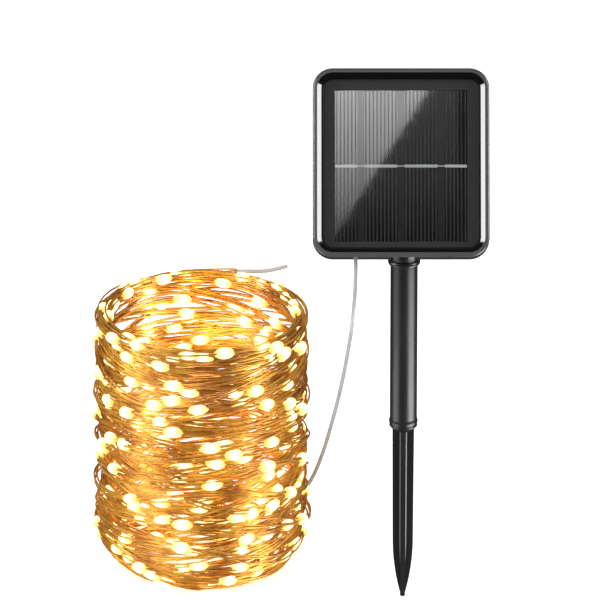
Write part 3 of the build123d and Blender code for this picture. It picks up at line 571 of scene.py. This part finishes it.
# ---- The light drops: warm resin, white hot at the middle, where the chip is
DIMMEST_GLOW, BRIGHTEST_GLOW = 0.7, 2.3
light_drop, tree, shader = make_material("light_drop")
level = add_node(tree, "ShaderNodeAttribute", attribute_name="glow_level").outputs["Fac"]
shader.inputs["Base Color"].default_value = (0.5, 0.30, 0.08, 1)
tree.links.new(value_range(tree, noise(tree, 700.0), 0.18, 0.3), shader.inputs["Roughness"])
colour = ramp(tree, level, (1.0, 0.68, 0.15), (1.0, 0.91, 0.52), 0.2, 1.0)
tree.links.new(colour, shader.inputs["Emission Color"])
glow = value_range(tree, level, DIMMEST_GLOW, BRIGHTEST_GLOW, 0.0, 1.0)
tree.links.new(glow, shader.inputs["Emission Strength"])

# ---- Which CAD node has which material
node_materials = {
    "front_bezel": bezel_gloss, "face_plate": face_matte, "cell_backsheet": backsheet,
    "solar_cells": silicon, "cell_fingers": finger_silver, "busbar_ribbon": ribbon_silver,
    "laminate_cover": clear_cover, "rear_housing": housing_black, "panel_gasket": seal_rubber,
    "housing_screws": screw_steel, "door_screws": screw_steel, "battery_door": housing_black,
    "battery_cell": cell_wrap, "battery_contact": contact_metal, "battery_spring": contact_metal,
    "circuit_board": board_green, "circuit_parts": chip_black, "button_switches": chip_black,
    "power_button": button_rubber, "mode_button": button_rubber, "panel_wires": wire_red,
    "cable_gland": gland_black, "tilt_bolt": bolt_black, "hinge_washers": washer_nylon,
    "tilt_knob": knob_black, "swivel_bracket": stake_black, "stake_tube": stake_black,
    "ground_spike": stake_black, "lead_tie": tie_black, "splice_sleeve": sleeve_clear,
}
for name, material in node_materials.items():
    for place in nodes[name].material_slots:
        place.material = material

# ---- The lead's tube
verts, faces = [], []
tube_mesh(lead_line, [LEAD_RADIUS] * len(lead_line), LEAD_SIDES, verts, faces)
lead = add_object("lead", verts, faces, lead_grey)
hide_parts("lead_wire_top", "lead_wire", "lead_coil", "lead_link")
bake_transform(lead)

# ---- Where the light drops are: evenly spaced, and moved a little where another drop is too near
LED_COUNT, FIRST_LED, LAST_LED_TO_END = 300, 62.0, 75.0
NUDGES = (0, 5, -5, 10, -10, 15, -15, 20, -20)
ROOM_WANTED, WORTH_MOVING = 8.0, 0.5

string_along = [0.0]
for a, b in zip(string_line, string_line[1:]):
    string_along.append(string_along[-1] + (b - a).length / MM)
string_length = string_along[-1]
string_frames = frames_along(string_line)


def point_at(along):
    """The place, tangent and square directions on the string at a length along it."""
    low, high = 0, len(string_along) - 1
    while high - low > 1:
        middle = (low + high) // 2
        if string_along[middle] <= along:
            low = middle
        else:
            high = middle
    share = (along - string_along[low]) / (string_along[high] - string_along[low])
    return [x.lerp(y, share) for x, y in zip(string_frames[low], string_frames[high])]


led_places, led_centres = [], []
led_step = (string_length - FIRST_LED - LAST_LED_TO_END) / (LED_COUNT - 1)
for k in range(LED_COUNT):
    best_room = -math.inf
    for nudge in NUDGES:
        along = FIRST_LED + led_step * k + nudge
        centre = point_at(along)[0]
        room = min(((centre - other).length / MM for other in led_centres), default=math.inf)
        if room > best_room + WORTH_MOVING:
            best_room, best_along, best_centre = room, along, centre
        if room > ROOM_WANTED:
            break
    led_places.append(best_along)
    led_centres.append(best_centre)

# ---- The string's four wires: close at each drop, apart between drops, and drawn in under the sheath
WIRE_COUNT, WIRE_RADIUS, WIRE_SIDES = 4, 0.53, 5
CLOSE, APART, IN_SHEATH = 0.7, (1.6, 2.8), 0.4
TWIST, FLATNESS = 0.021, 0.45
WANDER, WANDER_LENGTH = 0.7, 37.0
SHEATH_LENGTH, LAST_GAP_TO_END, FLOOR_GAP = 28.0, 8.0, 0.1
spreads = [chance.uniform(*APART) for _ in range(LED_COUNT + 1)]


def wire_spread(along, height, gap):
    """How far the wires stand off the string's line, at a length and a height in one gap between drops."""
    if along > string_length - SHEATH_LENGTH:
        return IN_SHEATH
    before = led_places[gap - 1] if gap else 0.0
    after = led_places[gap] if gap < LED_COUNT else string_length - LAST_GAP_TO_END
    share = min(max((along - before) / max(after - before, 1.0), 0.0), 1.0)
    spread = CLOSE
    if 0 < share < 1:
        spread += (spreads[gap] - CLOSE) * math.sin(math.pi * share) ** 0.5
    return min(spread, height - WIRE_RADIUS - FLOOR_GAP)


wire_lines = [[] for _ in range(WIRE_COUNT)]
gap = 0
for (here, way, _, _), along in zip(string_frames, string_along):
    up = (Vector((0, 0, 1)) - way * way.z).normalized()
    side = way.cross(up) * FLATNESS
    while gap < LED_COUNT and along > led_places[gap]:
        gap += 1
    spread = wire_spread(along, here.z / MM, gap)
    for k, line in enumerate(wire_lines):
        wander = WANDER * math.sin(along / WANDER_LENGTH + 2 * k)
        phase = FULL_TURN * k / WIRE_COUNT + TWIST * along + wander
        line.append(here + (side * math.cos(phase) + up * math.sin(phase)) * spread * MM)
verts, faces = [], []
for line in wire_lines:
    tube_mesh(line, [WIRE_RADIUS] * len(line), WIRE_SIDES, verts, faces)
string = add_object("string", verts, faces, copper_wire)
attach(string, "bracket")
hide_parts("string_coil", "string_tail")
string.visible_glossy = False

# ---- The light drops: rounded beads with drawn-out ends, brightest at the middle
DROP_RINGS, DROP_SIDES = 12, 12
DROP_SIZES = ((5.8, 6.6), (2.9, 3.4), (0.8, 1.0))
SHOULDER, FULLNESS, TIP_REACH = 2.3, 0.62, 1.05
GLOW_FALL, GLOW_CURVE = 1.25, 1.5
DROP_FLOOR_GAP = 0.2


def drop_mesh(along, verts, faces, glow_levels):
    """Adds one drop, at a length along the string, to lists of corners, faces and glow levels."""
    here, way, side, up = point_at(along)
    way = way.normalized()
    side = (side - way * side.dot(way)).normalized()
    up = way.cross(side)
    half_length, half_width, flatness = [chance.uniform(*sizes) for sizes in DROP_SIZES]
    here = Vector((here.x, here.y, max(here.z, (half_width + DROP_FLOOR_GAP) * MM)))
    first = len(verts)
    for ring in range(1, DROP_RINGS):
        across = math.cos(math.pi * ring / DROP_RINGS)
        radius = half_width * (1 - abs(across) ** SHOULDER) ** FULLNESS
        middle = here + way * across * half_length * MM
        verts.extend(ring_points(middle, side, up * flatness, radius, DROP_SIDES))
        level = max(0.0, 1 - abs(across) ** GLOW_CURVE * GLOW_FALL)
        glow_levels.extend([level] * DROP_SIDES)
    faces.extend(ring_faces(first, DROP_RINGS - 1, DROP_SIDES))
    for sign, ring in ((1, 0), (-1, DROP_RINGS - 2)):
        tip = len(verts)
        verts.append(here + way * sign * half_length * TIP_REACH * MM)
        glow_levels.append(0.0)
        for k in range(DROP_SIDES):
            a = first + ring * DROP_SIDES + k
            b = first + ring * DROP_SIDES + (k + 1) % DROP_SIDES
            faces.append((b, a, tip) if sign > 0 else (a, b, tip))


verts, faces, glow_levels = [], [], []
for along in led_places:
    drop_mesh(along, verts, faces, glow_levels)
drops = add_object("light_drops", verts, faces, light_drop)
add_point_values(drops, "glow_level", glow_levels)
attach(drops, "bracket")
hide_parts("led_drops")
drops.visible_glossy = False

# ---- The sheath over the string's far end: a little tapered, and closed just past the wires' ends
SHEATH_OVERLAP, SHEATH_PAST_END = 2.0, 0.4
SHEATH_STEPS, SHEATH_SIDES = 24, 12
SHEATH_RADIUS, SHEATH_TAPER, SHEATH_END = 1.2, 0.15, 0.85
sheath_from = string_length - SHEATH_LENGTH - SHEATH_OVERLAP
sheath_to = string_length + SHEATH_PAST_END
sheath_line, sheath_radii = [], []
for k in range(SHEATH_STEPS + 1):
    sheath_line.append(point_at(sheath_from + (sheath_to - sheath_from) * k / SHEATH_STEPS)[0])
    narrowed = SHEATH_END if k in (0, SHEATH_STEPS) else 1.0
    sheath_radii.append((SHEATH_RADIUS - SHEATH_TAPER * k / SHEATH_STEPS) * narrowed)
verts, faces = [], []
tube_mesh(sheath_line, sheath_radii, SHEATH_SIDES, verts, faces)
sheath = add_object("tail_sheath", verts, faces, sleeve_clear)
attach(sheath, "bracket")
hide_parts("tail_sleeve")


# ---- The floor
def emissive(name, strength):
    """A material that glows white and reflects nothing."""
    material, tree, shader = make_material(name)
    shader.inputs["Base Color"].default_value = (0, 0, 0, 1)
    shader.inputs["Specular IOR Level"].default_value = 0
    shader.inputs["Emission Color"].default_value = (1, 1, 1, 1)
    shader.inputs["Emission Strength"].default_value = strength
    return material, tree, shader


FLOOR_REACH, FLOOR_GLOW = 6, 0.55
floor_white, tree, shader = emissive("floor_white", FLOOR_GLOW)
shader.inputs["Base Color"].default_value = (0.85, 0.85, 0.85, 1)
shader.inputs["Roughness"].default_value = 0.9
floor_corners = [(x * FLOOR_REACH, y * FLOOR_REACH, 0) for x, y in ((-1, -1), (1, -1), (1, 1), (-1, 1))]
floor = add_object("floor", floor_corners, [(0, 1, 2, 3)], floor_white, False)
floor.visible_glossy = False
floor.visible_shadow = False

# ---- The background: white to the eye and to matt surfaces, and dim in reflections, so that gloss
# black stays black
WORLD_LEVEL, REFLECTED_LEVEL = 1.0, 0.07
world = bpy.data.worlds.new("World")
scene.world = world
world.use_nodes = True
tree = world.node_tree
glossy_ray = add_node(tree, "ShaderNodeLightPath").outputs["Is Glossy Ray"]
strength = calculate(tree, "MULTIPLY_ADD", glossy_ray, REFLECTED_LEVEL - WORLD_LEVEL, WORLD_LEVEL)
tree.nodes["Background"].inputs["Color"].default_value = (1, 1, 1, 1)
tree.links.new(strength, tree.nodes["Background"].inputs["Strength"])

# ---- The key light, high in front on the left
KEY_PLACE, KEY_AIM = Vector((-1.2, -1.6, 1.6)), Vector((-0.05, 0, 0.15))
KEY_SIZE, KEY_POWER = 1.0, 12
key_data = bpy.data.lights.new("key", "AREA")
key_data.shape = "RECTANGLE"
key_data.size = KEY_SIZE
key_data.size_y = KEY_SIZE
key_data.energy = KEY_POWER
key = bpy.data.objects.new("key", key_data)
scene.collection.objects.link(key)
key.location = KEY_PLACE
key.rotation_euler = (KEY_AIM - KEY_PLACE).to_track_quat("-Z", "Y").to_euler()


# ---- The cards that the glossy parts reflect
def card(name, corners, levels):
    """A bright card that only glossy surfaces see, with a level at each corner."""
    material, tree, shader = emissive(name, 1.0)
    level = add_node(tree, "ShaderNodeAttribute", attribute_name="level")
    tree.links.new(level.outputs["Fac"], shader.inputs["Emission Strength"])
    made = add_object(name, corners, [tuple(range(len(corners)))], material, False)
    add_point_values(made, "level", levels)
    made.visible_camera = False
    made.visible_diffuse = False
    made.visible_transmission = False
    made.visible_shadow = False


# at both sides of the panel, for the bezel
CARD_FAR, SIDE_WAY = 0.6, Vector((0.964, -0.148, 0.222))
SIDE_HALF_DEPTH, SIDE_BELOW, SIDE_ABOVE, SIDE_LEVEL = 0.10, 0.09, 0.40, 15.0
for side in (-1, 1):
    middle = FACE_CENTRE + Vector((side * SIDE_WAY.x, SIDE_WAY.y, SIDE_WAY.z)) * CARD_FAR
    front, back = middle.y - SIDE_HALF_DEPTH, middle.y + SIDE_HALF_DEPTH
    low, high = middle.z - SIDE_BELOW, middle.z + SIDE_ABOVE
    corners = [(middle.x, y, z) for y, z in ((front, low), (back, low), (back, high), (front, high))]
    card(f"side_card_{side + 1}", corners, [SIDE_LEVEL] * 4)

# round the stake, for its upright highlights: a name, two angles in degrees from the front, and a level
STAKE_CARDS = [("left", (-95, -45), 4.0), ("right", (42, 92), 12.0)]
STAKE_CARD_LOW, STAKE_CARD_HIGH = -0.6, -0.06
for name, angles, level in STAKE_CARDS:
    turns = [math.radians(angle) for angle in angles]
    (x0, y0), (x1, y1) = [(CARD_FAR * math.sin(turn), -CARD_FAR * math.cos(turn)) for turn in turns]
    low_edge = [(x0, y0, STAKE_CARD_LOW), (x1, y1, STAKE_CARD_LOW)]
    high_edge = [(x1, y1, STAKE_CARD_HIGH), (x0, y0, STAKE_CARD_HIGH)]
    card(f"stake_card_{name}", low_edge + high_edge, [level] * 4)

# before the face: the slanted window light that the cover over the cells reflects, and a haze beside it
MIRROR_WAY = Vector((0, -0.801, 0.599))
MIRROR_UP = Vector((0, 0.599, 0.801))
MIRROR_GROWTH = 1 + CARD_FAR / CAMERA_FAR
LEFT, RIGHT, TOP = -0.0375, 0.0375, 0.056
SLANT_TOP, SLANT_FOOT = (0.0252, TOP), (LEFT, -0.042)
HAZE_FOOT = -0.045
window_shape = [(LEFT, TOP), SLANT_FOOT, SLANT_TOP]
haze_shape = [SLANT_TOP, SLANT_FOOT, (LEFT, HAZE_FOOT), (RIGHT, HAZE_FOOT), (RIGHT, TOP)]


def mirror_place(x, up):
    """A place in the plane that the face mirrors to the camera, by where its image falls on the face."""
    return FACE_CENTRE + MIRROR_WAY * CARD_FAR + (Vector((x, 0, 0)) + MIRROR_UP * up) * MIRROR_GROWTH


card("window_card", [mirror_place(*p) for p in window_shape], [4.4, 0.3, 4.05])
card("haze_card", [mirror_place(*p) for p in haze_shape], [0.40, 0.012, 0.0, 0.0, 0.40])

# ---- Warm light inside the coil, as its many drops make, on the string alone
GLOW_HEIGHTS = (0.035, 0.08, 0.125)
GLOW_POWER, GLOW_COLOUR, GLOW_SIZE = 0.12, (1.0, 0.56, 0.2), 0.012
lit_by_glow = bpy.data.collections.new("lit_by_glow")
lit_by_glow.objects.link(string)
for height in GLOW_HEIGHTS:
    glow_data = bpy.data.lights.new("coil_glow", "POINT")
    glow_data.energy = GLOW_POWER
    glow_data.color = GLOW_COLOUR
    glow_data.shadow_soft_size = GLOW_SIZE
    coil_glow = bpy.data.objects.new("coil_glow", glow_data)
    scene.collection.objects.link(coil_glow)
    coil_glow.location = COIL * MM + Vector((0, 0, height))
    coil_glow.light_linking.receiver_collection = lit_by_glow
scene.view_settings.view_transform = "Standard"
